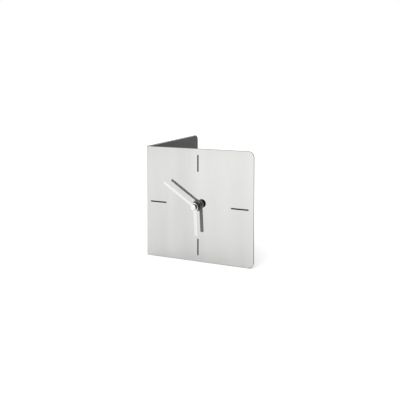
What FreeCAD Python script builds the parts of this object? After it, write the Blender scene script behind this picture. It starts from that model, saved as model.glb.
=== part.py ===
"""Table clock: a square dial folded from one polished sheet, with a quartz movement behind it.

Millimetres. X runs to the right across the dial, Y from the dial towards the back and Z up.
The shapes are drawn with Y = 0 on the dial's front and the hands' axis at X = Z = 0, and
place() moves them to the part's own frame, whose origin is the middle of the clock's footprint.
"""

import FreeCAD
import Part
import math
import os

Vector = FreeCAD.Vector

# folded sheet
FACE = 150.0  # height of the dial
FACE_WIDTH = 154.0
FLANGE = 172.0  # depth of the side that is folded back
SHEET = 1.5
FOLD_RADIUS = 3.0  # outside of the fold
CORNER = 8.0
HOLE = 4.1  # radius of the hole for the bushing
SLOT_WIDTH = 1.6
SLOT_UPRIGHT = (44.5, 66.7)  # inner and outer radius of the 12 and 6 o'clock slots
SLOT_LEVEL = (46.2, 69.9)  # inner and outer radius of the 3 and 9 o'clock slots
LINER = 0.8
LINER_INSET = 1.0
THROUGH = 1.0  # how far a cutter reaches past the faces it cuts

# stack in front of the dial, as heights above it
WASHER_RADIUS = 7.6
WASHER = 0.6
NUT_FLATS = 11.0
NUT_TOP = 3.1
BUSH_RADIUS = 4.0
BUSH_TOP = 7.4
THREAD_PITCH = 0.75
THREAD_DEPTH = 0.25
THREAD_START = 0.1  # plain length between the thread and the dial
BUSH_FLANGE = (2.0, 0.7)  # width and thickness of the flange inside the case
HAND = 0.6  # thickness of a hand
HOUR_HEIGHT = 9.4  # back of the hour hand
HOUR_LENGTH = 37.8
HOUR_WIDTH = 4.7
HOUR_ANGLE = 177.3  # degrees clockwise from 12
HOUR_EYE = 4.2
HOUR_BOSS_RADIUS = 4.0
HOUR_BOSS = 1.5
MINUTE_HEIGHT = 10.9
MINUTE_LENGTH = 52.8
MINUTE_WIDTH = 3.4
MINUTE_ANGLE = 303.6
MINUTE_EYE = 3.6
MINUTE_BOSS_RADIUS = 5.8
MINUTE_BOSS = 2.0
CAP_RADIUS = 4.0
CAP_TOP = 17.5
CAP_CHAMFER = 0.9
CAP_SEAT = 3.0  # depth of the cap's bore

# tubes and arbors on the hands' axis
SECOND_ARBOR = 0.5
MINUTE_TUBE = 1.6
HOUR_TUBE = 2.55
RUN = 0.05  # running clearance of a shaft in its hole
PIVOT = 0.35
HUB = 0.6  # radius between a wheel and its pinion
SECOND_ARBOR_FRONT = -11.0
HOUR_TUBE_FRONT = 10.4
STEM = (1.5, 9.6)  # radius behind the cannon pinion and where it ends
CLUTCH_SEAT = (1.2, 11.2)  # radius that the centre wheel slips on and where it ends

# movement case
GASKET_RADIUS = 11.0
GASKET = 1.0
CASE = 56.0
WALL = 1.4
CASE_CORNER = 3.0
CASE_FRONT = SHEET + LINER + GASKET
COVER_FRONT = CASE_FRONT + 15.1
COVER_BACK = COVER_FRONT + WALL
DIVIDER = (-11.8, -10.6)  # wall between the wheels and the battery
PLATE = (8.4, 9.4)
PLATE_SIZE = (-18.0, 17.5, -10.0, 16.0)
POST = 1.5
PLATE_CORNER = 2.0
PLATE_POSTS = ((-15.0, 13.0), (14.0, 13.0), (14.0, -8.5), (-15.0, -9.0))
STATOR_POST = 1.2
STATOR_POSTS = ((12.4, 15.6), (12.4, -7.0))
BOARD_POSTS = ((-22.0, 21.7), (-7.0, 21.7))
LIP = (0.1, 1.0, 1.2)  # the lid's lip: clearance, thickness and depth
LIP_GAP = 1.2  # half width of the gap in the lip for each battery contact
CONTACT_NOTCH = 14.0  # where the divider opens for the contacts
FINGER_SLOT = (1.5, 15.0, 4.0)  # half width, distance from the middle, reach past the cell's axis
ENGRAVING = 0.3
LABEL = (2.0, 24.0, 10.0, 22.0)
KNOB_RING = (1.0, 1.6)  # groove around the setting knob, outside its radius

# battery
CELL_RADIUS = 7.0
SLEEVE = 0.15
CELL_ENDS = (-24.6, 24.9)
NUB = (2.75, 1.0)  # radius and height of the positive end
CELL_Y = 12.1
CELL_Z = -19.2
CELL_EDGE = 0.5
CELL_GROOVE = (4.4, 5.6, 0.3)  # radii and depth of the ring at the negative end
SLEEVE_INSET = 0.7

# wheel train: teeth, module and front and back of each wheel
HOUR_TEETH = 40
HOUR_WHEEL = (5.0, 6.2)
MINUTE_PINION_TEETH = 10
MINUTE_PINION = (4.95, 6.35)
MINUTE_WHEEL_TEETH = 36
MINUTE_WHEEL = (6.8, 7.7)
CANNON_TEETH = 12
CANNON = (6.6, 7.9)
CENTRE_TEETH = 64
CENTRE_WHEEL = (10.15, 10.95)
THIRD_PINION_TEETH = 8
THIRD_PINION = (9.9, 11.2)
THIRD_TEETH = 60
THIRD_WHEEL = (11.7, 12.3)
SECOND_PINION_TEETH = 8
SECOND_PINION = (11.5, 12.6)
SECOND_TEETH = 60
SECOND_WHEEL = (13.1, 13.7)
FIFTH_PINION_TEETH = 12
FIFTH_PINION = (12.9, 13.9)
FIFTH_TEETH = 48
FIFTH_WHEEL = (14.4, 14.9)
ROTOR_TEETH = 8
ROTOR_PINION = (14.2, 15.1)
MAGNET_RADIUS = 2.2
MAGNET = (11.0, 13.4)
FRONT_PIVOT = 8.6
BACK_PIVOT = 16.2
BACK_BOSS = 15.6
BACK_BOSS_RADIUS = 1.3
END_SHAKE = 0.2

# lightening holes: radius and distance from the wheel's axis
HOUR_WINDOWS = (1.5, 5.0)
MINUTE_WINDOWS = (1.5, 4.4)
TRAIN_WINDOWS = (1.7, 4.5)
FIFTH_WINDOWS = (1.0, 2.9)

# clutch spring
SPRING_FRONT = 9.68
SPRING_ARM = (0.5, 3.6)  # half width and reach
SPRING_HUB = 2.0

# axes of the train: distance and direction (degrees anticlockwise from +X) from the axis before
SETTING_DISTANCE = 9.6
SETTING_DIRECTION = 180.0
THIRD_DISTANCE = 8.5
THIRD_DIRECTION = 100.0
FIFTH_DISTANCE = 9.0
FIFTH_DIRECTION = 10.0
ROTOR_DISTANCE = 5.6
ROTOR_DIRECTION = 20.0

SETTING_ARBOR = 0.9
KNOB_RADIUS = 4.5
KNOB = (20.1, 22.9)
KNOB_FLUTES = 18
KNOB_FLUTE = (0.5, 0.25)  # radius of a flute and how far its axis is outside the knob
KNOB_LID = 0.6  # solid end over the arbor
KNOB_SLOT = (3.2, 0.5)  # half length, and half width and depth, of the screwdriver slot
KNOB_PIVOT = 0.7

# motor
STATOR = (11.7, 12.7)
STATOR_BAR = (10.6, 17.6)
STATOR_ARM = 4.0
STATOR_TOP = 19.5
STATOR_BOTTOM = -9.0
CORE = (21.0, 24.0)
CORE_FRONT = 10.7
ROTOR_GAP = 0.4
BOBBIN = (-3.5, 14.0)
BOBBIN_FLANGE = 3.4
BOBBIN_END = 1.0
BOBBIN_WALL = 0.8
WINDING_RADIUS = 2.9
BOARD = (-25.0, -4.0, 17.8, 25.6)
BOARD_SIDES = (14.8, 15.8)
CHIP = (-12.0, 21.7)
CHIP_BALL = (3.6, 2.6)  # radius of the dome's sphere and how far its centre is sunk
CRYSTAL = (-22.5, 19.4)
CRYSTAL_SIZE = (1.0, 6.0)  # radius and length
STRIP = 0.4
CONTACT_LINE = 26.4  # outer face of both battery contacts
CONTACT_PLATE = (7.0, 17.0, -23.5, -15.0)
CONTACT_RISER = 1.2
CONTACT_FOOT = (23.8, 25.2)
POSITIVE_FOOT = -6.5
NEGATIVE_FOOT = -23.6
LEAF = (4.6, 4.1, 2.0)  # outer and inner half height and half width of the bowed leaf
LEAF_GAP = 0.15


def offset(distance, direction, start=(0.0, 0.0)):
    """The point at a distance and direction from another one."""
    angle = math.radians(direction)
    return (start[0] + distance * math.cos(angle), start[1] + distance * math.sin(angle))


CENTRE = (0.0, 0.0)
SETTING = offset(SETTING_DISTANCE, SETTING_DIRECTION)
THIRD = offset(THIRD_DISTANCE, THIRD_DIRECTION)
FIFTH = offset(FIFTH_DISTANCE, FIFTH_DIRECTION)
ROTOR = offset(ROTOR_DISTANCE, ROTOR_DIRECTION, FIFTH)
FACE_Y = (CAP_TOP - FLANGE) / 2.0
DIAL_Z = FACE / 2.0


def place(shape):
    """Moves a shape from the hands' axis to the part's own frame."""
    moved = shape.copy()
    moved.translate(Vector(0, FACE_Y, DIAL_Z))
    return moved


def disc(radius, y0, y1, at=CENTRE):
    return Part.makeCylinder(radius, y1 - y0, Vector(at[0], y0, at[1]), Vector(0, 1, 0))


def ring(outer, inner, y0, y1, at=CENTRE):
    return disc(outer, y0, y1, at).cut(disc(inner, y0, y1, at))


def block(x0, x1, y0, y1, z0, z1):
    return Part.makeBox(x1 - x0, y1 - y0, z1 - z0, Vector(x0, y0, z0))


def join(shapes):
    """One solid from pieces that touch or overlap."""
    return shapes[0].multiFuse(shapes[1:]).removeSplitter()


def turned(points):
    """A solid of revolution about the hands' axis from (radius, y) points."""
    corners = [Vector(r, y, 0) for r, y in points]
    outline = Part.makePolygon(corners + corners[:1])
    return Part.Face(outline).revolve(Vector(0, 0, 0), Vector(0, 1, 0), 360)


def fillet_where(shape, radius, wanted):
    """Rounds the edges whose middle point and direction pass a test."""
    chosen = []
    for edge in shape.Edges:
        if not isinstance(edge.Curve, Part.Line):
            continue
        if wanted(edge.CenterOfMass, edge.tangentAt(edge.FirstParameter)):
            chosen.append(edge)
    return shape.makeFillet(radius, chosen)


# ---- gear teeth


def involute_angle(base, radius):
    """Polar angle of an involute from its base circle out to a radius."""
    if radius <= base:
        return 0.0
    roll = math.sqrt((radius / base) ** 2 - 1.0)
    return roll - math.atan(roll)


def gear(teeth, module, span, at, phase, addendum=0.9, dedendum=1.3, play=0.06):
    """Spur gear with straight-sided facets along a 20 degree involute.

    phase is the direction of one tooth's middle, and play is the share of a tooth's pitch that
    is left free beside it.
    """
    pitch = module * teeth / 2.0
    base = pitch * math.cos(math.radians(20))
    tip = pitch + addendum * module
    root = pitch - dedendum * module
    half = math.pi / teeth * (0.5 - play) + involute_angle(base, pitch)
    radii = [root, max(root, base), pitch, (pitch + tip) / 2.0, tip]
    points = []
    for k in range(teeth):
        middle = phase + 2.0 * math.pi * k / teeth
        flank = [(r, half - involute_angle(base, r)) for r in radii]
        for radius, angle in flank:
            points.append((radius, middle - angle))
        for radius, angle in reversed(flank):
            points.append((radius, middle + angle))
    corners = []
    for radius, angle in points:
        x = at[0] + radius * math.cos(angle)
        z = at[1] + radius * math.sin(angle)
        corner = Vector(x, span[0], z)
        if not corners or corner.distanceToPoint(corners[-1]) > 1e-6:
            corners.append(corner)
    outline = Part.makePolygon(corners + corners[:1])
    return Part.Face(outline).extrude(Vector(0, span[1] - span[0], 0))


def meshed(phase, teeth, direction, next_teeth):
    """Phase that puts the next gear in mesh with one of a known phase.

    direction points from the known gear's axis to the next one's, in degrees.
    """
    line = math.radians(direction)
    place_in_pitch = (line - phase) * teeth / (2.0 * math.pi)
    return line + math.pi + (place_in_pitch - 0.5) * 2.0 * math.pi / next_teeth


MODULE_CANNON = 2.0 * SETTING_DISTANCE / (CANNON_TEETH + MINUTE_WHEEL_TEETH)
MODULE_HOUR = 2.0 * SETTING_DISTANCE / (MINUTE_PINION_TEETH + HOUR_TEETH)
MODULE_CENTRE = 2.0 * THIRD_DISTANCE / (THIRD_PINION_TEETH + CENTRE_TEETH)
MODULE_THIRD = 2.0 * THIRD_DISTANCE / (SECOND_PINION_TEETH + THIRD_TEETH)
MODULE_SECOND = 2.0 * FIFTH_DISTANCE / (FIFTH_PINION_TEETH + SECOND_TEETH)
MODULE_FIFTH = 2.0 * ROTOR_DISTANCE / (ROTOR_TEETH + FIFTH_TEETH)


def windows(radius, reach, span, at, count=4):
    """Round lightening holes of a wheel, spread about its axis."""
    holes = []
    for k in range(count):
        middle = offset(reach, 45.0 + 360.0 * k / count, at)
        holes.append(disc(radius, span[0], span[1], middle))
    return Part.makeCompound(holes)


# ---- folded sheet and what lies against it


def folded_plan(thickness, start, inset):
    """Face of an L-shaped strip: one leg along the dial, the other along the flange."""
    right = FACE_WIDTH / 2.0 - inset
    left = start - FACE_WIDTH / 2.0
    far = FLANGE - inset
    outer = FOLD_RADIUS - start
    inner = outer - thickness
    bend_x = left + outer
    bend_y = FOLD_RADIUS
    slant = math.sqrt(0.5)

    def bent(radius):
        first = Vector(bend_x, bend_y - radius, 0)
        middle = Vector(bend_x - radius * slant, bend_y - radius * slant, 0)
        last = Vector(bend_x - radius, bend_y, 0)
        return first, middle, last

    out = bent(outer)
    back = bent(inner)
    right_front = Vector(right, start, 0)
    right_back = Vector(right, start + thickness, 0)
    far_left = Vector(left, far, 0)
    far_right = Vector(left + thickness, far, 0)
    edges = [
        Part.LineSegment(right_front, out[0]),
        Part.Arc(*out),
        Part.LineSegment(out[2], far_left),
        Part.LineSegment(far_left, far_right),
        Part.LineSegment(far_right, back[2]),
        Part.Arc(*reversed(back)),
        Part.LineSegment(back[0], right_back),
        Part.LineSegment(right_back, right_front),
    ]
    return Part.Face(Part.Wire([edge.toShape() for edge in edges]))


def folded(thickness, start, inset, corner):
    """An L-shaped sheet with its four free corners rounded."""
    half = FACE / 2.0 - inset
    plan = folded_plan(thickness, start, inset)
    plan.translate(Vector(0, 0, -half))
    solid = plan.extrude(Vector(0, 0, 2.0 * half))

    def free_corner(middle, direction):
        on_corner = abs(abs(middle.z) - half) < 0.01 and abs(direction.z) < 0.01
        at_right = abs(middle.x - (FACE_WIDTH / 2.0 - inset)) < 0.01
        at_far = abs(middle.y - (FLANGE - inset)) < 0.01
        return on_corner and (at_right or at_far)

    return fillet_where(solid, corner, free_corner)


def slot(radii, turn):
    """Cutter for one hour slot, drawn at 12 o'clock and turned clockwise."""
    inner, outer = radii
    half = SLOT_WIDTH / 2.0
    front, back = -THROUGH, SHEET + THROUGH
    strip = block(-half, half, front, back, inner + half, outer - half)
    ends = [disc(half, front, back, (0.0, z)) for z in (inner + half, outer - half)]
    cutter = join([strip] + ends)
    cutter.rotate(Vector(0, 0, 0), Vector(0, 1, 0), turn)
    return cutter


def folded_sheet():
    solid = folded(SHEET, 0.0, 0.0, CORNER)
    cutters = [disc(HOLE, -THROUGH, SHEET + THROUGH)]
    for turn in (0, 180):
        cutters.append(slot(SLOT_UPRIGHT, turn))
    for turn in (90, 270):
        cutters.append(slot(SLOT_LEVEL, turn))
    return solid.cut(Part.makeCompound(cutters))


def inner_liner():
    solid = folded(LINER, SHEET, LINER_INSET, CORNER - LINER_INSET)
    return solid.cut(disc(HOLE, SHEET, SHEET + LINER))


def rubber_gasket():
    return ring(GASKET_RADIUS, HOLE, SHEET + LINER, CASE_FRONT)


def flat_washer():
    return ring(WASHER_RADIUS, HOLE, -WASHER, 0.0)


def hex_nut():
    corner = NUT_FLATS / math.sqrt(3.0)
    points = [offset(corner, 60.0 * k) for k in range(7)]
    outline = Part.makePolygon([Vector(x, -NUT_TOP, z) for x, z in points])
    prism = Part.Face(outline).extrude(Vector(0, NUT_TOP - WASHER, 0))
    flat = NUT_FLATS / 2.0
    slope = (corner - flat) * 0.5
    turned_limit = turned(
        [
            (0.0, -NUT_TOP),
            (flat, -NUT_TOP),
            (corner, -NUT_TOP + slope),
            (corner, -WASHER - slope),
            (flat, -WASHER),
            (0.0, -WASHER),
        ]
    )
    return prism.common(turned_limit).cut(disc(BUSH_RADIUS, -NUT_TOP, -WASHER))


def threaded_bushing():
    """Thread crests are rings one pitch apart; the flange is let into the case's front."""
    bore = HOUR_TUBE + RUN
    flange = BUSH_RADIUS + BUSH_FLANGE[0]
    flange_back = CASE_FRONT + BUSH_FLANGE[1]
    points = [(bore, -BUSH_TOP), (BUSH_RADIUS - THREAD_DEPTH, -BUSH_TOP)]
    turns = int((BUSH_TOP - THREAD_START) / THREAD_PITCH)
    for k in range(turns):
        low = -BUSH_TOP + k * THREAD_PITCH
        points.append((BUSH_RADIUS, low + THREAD_PITCH / 2.0))
        points.append((BUSH_RADIUS - THREAD_DEPTH, low + THREAD_PITCH))
    points += [
        (BUSH_RADIUS, 0.0),
        (BUSH_RADIUS, CASE_FRONT),
        (flange, CASE_FRONT),
        (flange, flange_back),
        (BUSH_RADIUS, flange_back),
        (BUSH_RADIUS, CASE_FRONT + WALL),
        (bore, CASE_FRONT + WALL),
    ]
    return turned(points)


# ---- movement case


def rounded_case(inset, y0, y1):
    half = CASE / 2.0 - inset
    solid = block(-half, half, y0, y1, -half, half)

    def upright(middle, direction):
        return abs(direction.y) > 0.99

    return fillet_where(solid, CASE_CORNER - inset, upright)


def front_housing():
    """Open box with a floor behind the dial; the battery's bay is below the divider."""
    floor = CASE_FRONT + WALL
    inside = CASE / 2.0 - WALL
    shell = rounded_case(0.0, CASE_FRONT, COVER_FRONT)
    shell = shell.cut(rounded_case(WALL, floor, COVER_FRONT))
    added = [shell, block(-inside, inside, floor, COVER_FRONT, DIVIDER[0], DIVIDER[1])]
    for post in PLATE_POSTS:
        added.append(disc(POST, floor, PLATE[0], post))
    for post in BOARD_POSTS:
        added.append(disc(POST, floor, BOARD_SIDES[0], post))
    solid = join(added)
    strip_side = CONTACT_LINE - STRIP - LIP[0]
    flange = BUSH_RADIUS + BUSH_FLANGE[0]
    cutters = [
        disc(BUSH_RADIUS, CASE_FRONT, floor),
        disc(flange, CASE_FRONT, CASE_FRONT + BUSH_FLANGE[1]),
        disc(PIVOT + RUN, floor - KNOB_PIVOT - LIP[0], floor, SETTING),
        block(strip_side, inside, CONTACT_NOTCH, COVER_FRONT, *DIVIDER),
        block(-inside, -strip_side, CONTACT_NOTCH, COVER_FRONT, *DIVIDER),
    ]
    half, distance, reach = FINGER_SLOT
    for side in (-1.0, 1.0):
        low = block(-half, half, CELL_Y - reach, COVER_FRONT, -CASE / 2.0, -inside)
        low.translate(Vector(side * distance, 0, 0))
        cutters.append(low)
    return solid.cut(Part.makeCompound(cutters))


def middle_plate():
    x0, x1, z0, z1 = PLATE_SIZE
    plate = block(x0, x1, PLATE[0], PLATE[1], z0, z1)

    def upright(middle, direction):
        return abs(direction.y) > 0.99

    plate = fillet_where(plate, PLATE_CORNER, upright)
    posts = [disc(STATOR_POST, PLATE[1], STATOR[0], post) for post in STATOR_POSTS]
    solid = join([plate] + posts)
    holes = [
        disc(MINUTE_TUBE, PLATE[0], PLATE[1]),
        disc(SETTING_ARBOR + RUN, PLATE[0], PLATE[1], SETTING),
    ]
    for at in (THIRD, FIFTH, ROTOR):
        holes.append(disc(PIVOT + RUN, FRONT_PIVOT - END_SHAKE, PLATE[1], at))
    return solid.cut(Part.makeCompound(holes))


def rear_cover():
    """Lid over the wheels, with a lip inside the case and a boss for each rear pivot."""
    half = CASE / 2.0
    clearance, thickness, depth = LIP
    lip_front = COVER_FRONT - depth
    outside = WALL + clearance
    plate = rounded_case(0.0, COVER_FRONT, COVER_BACK)
    plate = plate.cut(block(-half, half, COVER_FRONT, COVER_BACK, -half, DIVIDER[0]))
    rim = rounded_case(outside, lip_front, COVER_FRONT)
    rim = rim.cut(rounded_case(outside + thickness, lip_front, COVER_FRONT))
    rim = rim.cut(block(-half, half, lip_front, COVER_FRONT, -half, DIVIDER[1] + clearance))
    for side in (-1.0, 1.0):
        gap = block(-LIP_GAP, LIP_GAP, lip_front, COVER_FRONT, -half, half)
        gap.translate(Vector(side * (half - outside), 0, 0))
        rim = rim.cut(gap)
    bosses = []
    for at in (CENTRE, THIRD, FIFTH, ROTOR):
        bosses.append(disc(BACK_BOSS_RADIUS, BACK_BOSS, COVER_FRONT, at))
    solid = join([plate, rim] + bosses)
    holes = [disc(SETTING_ARBOR + RUN, COVER_FRONT, COVER_BACK, SETTING)]
    for at in (CENTRE, THIRD, FIFTH, ROTOR):
        holes.append(disc(PIVOT + RUN, BACK_BOSS, BACK_PIVOT + END_SHAKE, at))
    inner, outer = KNOB_RADIUS + KNOB_RING[0], KNOB_RADIUS + KNOB_RING[1]
    engraved = COVER_BACK - ENGRAVING
    holes.append(ring(outer, inner, engraved, COVER_BACK, SETTING))
    holes.append(block(LABEL[0], LABEL[1], engraved, COVER_BACK, LABEL[2], LABEL[3]))
    return solid.cut(Part.makeCompound(holes))


# ---- wheels and hands


def hand(length, width, height, angle, bore, boss_radius):
    """Flat baton hand with a round eye about the hands' axis."""
    half = width / 2.0
    back, front = -height, -height - HAND
    blade = block(-half, half, front, back, 0.0, length)
    blade.rotate(Vector(0, 0, 0), Vector(0, 1, 0), angle)
    eye = disc(boss_radius, front, back)
    return join([blade, eye]).cut(disc(bore, front, back))


def hour_hand():
    return hand(HOUR_LENGTH, HOUR_WIDTH, HOUR_HEIGHT, HOUR_ANGLE, HOUR_TUBE, HOUR_EYE)


def minute_hand():
    return hand(
        MINUTE_LENGTH, MINUTE_WIDTH, MINUTE_HEIGHT, MINUTE_ANGLE, MINUTE_TUBE, MINUTE_EYE
    )


def hour_boss():
    return ring(HOUR_BOSS_RADIUS, HOUR_TUBE, -HOUR_HEIGHT, -HOUR_HEIGHT + HOUR_BOSS)


def minute_boss():
    back = -MINUTE_HEIGHT - HAND
    return ring(MINUTE_BOSS_RADIUS, MINUTE_TUBE, back - MINUTE_BOSS, back)


def hub_cap():
    """Closed cylinder on the end of the minute tube."""
    back = -MINUTE_HEIGHT - HAND - MINUTE_BOSS
    seat = back - CAP_SEAT
    return turned(
        [
            (MINUTE_TUBE, back),
            (CAP_RADIUS, back),
            (CAP_RADIUS, -CAP_TOP + CAP_CHAMFER),
            (CAP_RADIUS - CAP_CHAMFER, -CAP_TOP),
            (0.0, -CAP_TOP),
            (0.0, seat),
            (MINUTE_TUBE, seat),
        ]
    )


def minute_tube():
    """Cannon pinion and tube; the centre wheel slips on its rear end."""
    front = -MINUTE_HEIGHT - HAND - MINUTE_BOSS - CAP_SEAT
    bore = SECOND_ARBOR + RUN
    stem = turned(
        [
            (bore, front),
            (MINUTE_TUBE, front),
            (MINUTE_TUBE, CANNON[0]),
            (STEM[0], CANNON[0]),
            STEM,
            (CLUTCH_SEAT[0], STEM[1]),
            CLUTCH_SEAT,
            (bore, CLUTCH_SEAT[1]),
        ]
    )
    pinion = gear(CANNON_TEETH, MODULE_CANNON, CANNON, CENTRE, CANNON_PHASE)
    pinion = pinion.cut(disc(CLUTCH_SEAT[0], *CANNON))
    return join([stem, pinion])


def hour_wheel():
    wheel = gear(HOUR_TEETH, MODULE_HOUR, HOUR_WHEEL, CENTRE, HOUR_PHASE)
    wheel = wheel.cut(windows(*HOUR_WINDOWS, HOUR_WHEEL, CENTRE))
    tube = disc(HOUR_TUBE, -HOUR_TUBE_FRONT, HOUR_WHEEL[1])
    bore = disc(MINUTE_TUBE + RUN, -HOUR_TUBE_FRONT, HOUR_WHEEL[1])
    return join([wheel, tube]).cut(bore)


def minute_wheel():
    """Reduction wheel of the hands; its long arbor carries the setting knob."""
    wheel = gear(MINUTE_WHEEL_TEETH, MODULE_CANNON, MINUTE_WHEEL, SETTING, SETTING_PHASE)
    wheel = wheel.cut(windows(*MINUTE_WINDOWS, MINUTE_WHEEL, SETTING))
    pinion = gear(MINUTE_PINION_TEETH, MODULE_HOUR, MINUTE_PINION, SETTING, PINION_PHASE)
    pivot = disc(PIVOT, CASE_FRONT + WALL - KNOB_PIVOT, MINUTE_PINION[0], SETTING)
    arbor = disc(SETTING_ARBOR, MINUTE_PINION[0], KNOB[1] - KNOB_LID, SETTING)
    return join([wheel, pinion, pivot, arbor])


def setting_knob():
    knob = disc(KNOB_RADIUS, KNOB[0], KNOB[1], SETTING)
    cutters = [disc(SETTING_ARBOR, KNOB[0], KNOB[1] - KNOB_LID, SETTING)]
    for k in range(KNOB_FLUTES):
        at = offset(KNOB_RADIUS + KNOB_FLUTE[1], 360.0 * k / KNOB_FLUTES, SETTING)
        cutters.append(disc(KNOB_FLUTE[0], KNOB[0], KNOB[1], at))
    length, half = KNOB_SLOT
    left, right = SETTING[0] - length, SETTING[0] + length
    cutters.append(block(left, right, KNOB[1] - half, KNOB[1], -half, half))
    return knob.cut(Part.makeCompound(cutters))


def centre_wheel():
    wheel = gear(CENTRE_TEETH, MODULE_CENTRE, CENTRE_WHEEL, CENTRE, CENTRE_PHASE)
    bore = disc(CLUTCH_SEAT[0] + RUN, *CENTRE_WHEEL)
    cutters = [bore, windows(*TRAIN_WINDOWS, CENTRE_WHEEL, CENTRE)]
    return wheel.cut(Part.makeCompound(cutters))


def clutch_spring():
    """Three-armed spring washer that lets the hands be set while the train stands still."""
    front, back = SPRING_FRONT, CENTRE_WHEEL[0]
    half, reach = SPRING_ARM
    arms = [disc(SPRING_HUB, front, back)]
    for k in range(3):
        arm = block(-half, half, front, back, 0.0, reach)
        arm.rotate(Vector(0, 0, 0), Vector(0, 1, 0), 120.0 * k)
        arms.append(arm)
    return join(arms).cut(disc(CLUTCH_SEAT[0] + RUN, front, back))


def arbored(pieces, at):
    """Adds to wheels on one axis the arbor that ends in a pivot at each plate."""
    arbor = disc(PIVOT, FRONT_PIVOT, BACK_PIVOT, at)
    return join(pieces + [arbor])


def third_wheel():
    wheel = gear(THIRD_TEETH, MODULE_THIRD, THIRD_WHEEL, THIRD, THIRD_PHASE)
    wheel = wheel.cut(windows(*TRAIN_WINDOWS, THIRD_WHEEL, THIRD))
    pinion = gear(THIRD_PINION_TEETH, MODULE_CENTRE, THIRD_PINION, THIRD, THIRD_PINION_PHASE)
    hub = disc(HUB, THIRD_PINION[1], THIRD_WHEEL[0], THIRD)
    return arbored([wheel, pinion, hub], THIRD)


def second_wheel():
    """Its arbor runs inside the minute tube, where a second hand would be fitted."""
    wheel = gear(SECOND_TEETH, MODULE_SECOND, SECOND_WHEEL, CENTRE, SECOND_PHASE)
    wheel = wheel.cut(windows(*TRAIN_WINDOWS, SECOND_WHEEL, CENTRE))
    pinion = gear(SECOND_PINION_TEETH, MODULE_THIRD, SECOND_PINION, CENTRE, SECOND_PINION_PHASE)
    hub = disc(HUB, SECOND_PINION[1], SECOND_WHEEL[0])
    arbor = disc(SECOND_ARBOR, SECOND_ARBOR_FRONT, SECOND_PINION[0])
    pivot = disc(PIVOT, SECOND_WHEEL[1], BACK_PIVOT)
    return join([wheel, pinion, hub, arbor, pivot])


def fifth_wheel():
    wheel = gear(FIFTH_TEETH, MODULE_FIFTH, FIFTH_WHEEL, FIFTH, FIFTH_PHASE)
    wheel = wheel.cut(windows(*FIFTH_WINDOWS, FIFTH_WHEEL, FIFTH))
    pinion = gear(FIFTH_PINION_TEETH, MODULE_SECOND, FIFTH_PINION, FIFTH, FIFTH_PINION_PHASE)
    hub = disc(HUB, FIFTH_PINION[1], FIFTH_WHEEL[0], FIFTH)
    return arbored([wheel, pinion, hub], FIFTH)


def rotor_pinion():
    pinion = gear(ROTOR_TEETH, MODULE_FIFTH, ROTOR_PINION, ROTOR, ROTOR_PHASE)
    return arbored([pinion], ROTOR)


def rotor_magnet():
    return ring(MAGNET_RADIUS, PIVOT, MAGNET[0], MAGNET[1], ROTOR)


# phases of the train, each worked out from the wheel it meshes with
HOUR_PHASE = 0.0
PINION_PHASE = meshed(HOUR_PHASE, HOUR_TEETH, SETTING_DIRECTION, MINUTE_PINION_TEETH)
CANNON_PHASE = 0.0
SETTING_PHASE = meshed(CANNON_PHASE, CANNON_TEETH, SETTING_DIRECTION, MINUTE_WHEEL_TEETH)
SECOND_PHASE = 0.0
SECOND_PINION_PHASE = 0.0
THIRD_PHASE = meshed(SECOND_PINION_PHASE, SECOND_PINION_TEETH, THIRD_DIRECTION, THIRD_TEETH)
CENTRE_PHASE = 0.0
THIRD_PINION_PHASE = meshed(CENTRE_PHASE, CENTRE_TEETH, THIRD_DIRECTION, THIRD_PINION_TEETH)
FIFTH_PINION_PHASE = meshed(SECOND_PHASE, SECOND_TEETH, FIFTH_DIRECTION, FIFTH_PINION_TEETH)
FIFTH_PHASE = 0.0
ROTOR_PHASE = meshed(FIFTH_PHASE, FIFTH_TEETH, ROTOR_DIRECTION, ROTOR_TEETH)


# ---- motor, circuit and battery


def stator():
    """C-shaped plate: a bar round the rotor and an arm to each end of the coil's core."""
    y0, y1 = STATOR
    x0, x1 = STATOR_BAR
    bar = block(x0, x1, y0, y1, STATOR_BOTTOM, STATOR_TOP)
    top = block(x1, CORE[1], y0, y1, STATOR_TOP - STATOR_ARM, STATOR_TOP)
    low = block(x1, CORE[1], y0, y1, STATOR_BOTTOM, STATOR_BOTTOM + STATOR_ARM)
    return join([bar, top, low]).cut(disc(MAGNET_RADIUS + ROTOR_GAP, y0, y1, ROTOR))


def coil_core():
    return block(CORE[0], CORE[1], CORE_FRONT, STATOR[0], STATOR_BOTTOM, STATOR_TOP)


def coil_middle():
    return (CORE[0] + CORE[1]) / 2.0, (CORE_FRONT + STATOR[0]) / 2.0


def around_core(grow, z0, z1):
    return block(
        CORE[0] - grow, CORE[1] + grow, CORE_FRONT - grow, STATOR[0] + grow, z0, z1
    )


def coil_bobbin():
    x, y = coil_middle()
    half = BOBBIN_FLANGE
    pieces = [around_core(BOBBIN_WALL, BOBBIN[0], BOBBIN[1])]
    for z in (BOBBIN[0], BOBBIN[1] - BOBBIN_END):
        pieces.append(block(x - half, x + half, y - half, y + half, z, z + BOBBIN_END))
    return join(pieces).cut(around_core(0.0, BOBBIN[0], BOBBIN[1]))


def coil_winding():
    x, y = coil_middle()
    z0, z1 = BOBBIN[0] + BOBBIN_END, BOBBIN[1] - BOBBIN_END
    wound = Part.makeCylinder(WINDING_RADIUS, z1 - z0, Vector(x, y, z0), Vector(0, 0, 1))
    return wound.cut(around_core(BOBBIN_WALL, z0, z1))


def circuit_board():
    x0, x1, z0, z1 = BOARD
    return block(x0, x1, BOARD_SIDES[0], BOARD_SIDES[1], z0, z1)


def chip():
    """Dome of resin over the bare chip."""
    back = BOARD_SIDES[1]
    radius, sunk = CHIP_BALL
    ball = Part.makeSphere(radius, Vector(CHIP[0], back - sunk, CHIP[1]))
    return ball.common(disc(radius, back, back + radius, CHIP))


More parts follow.
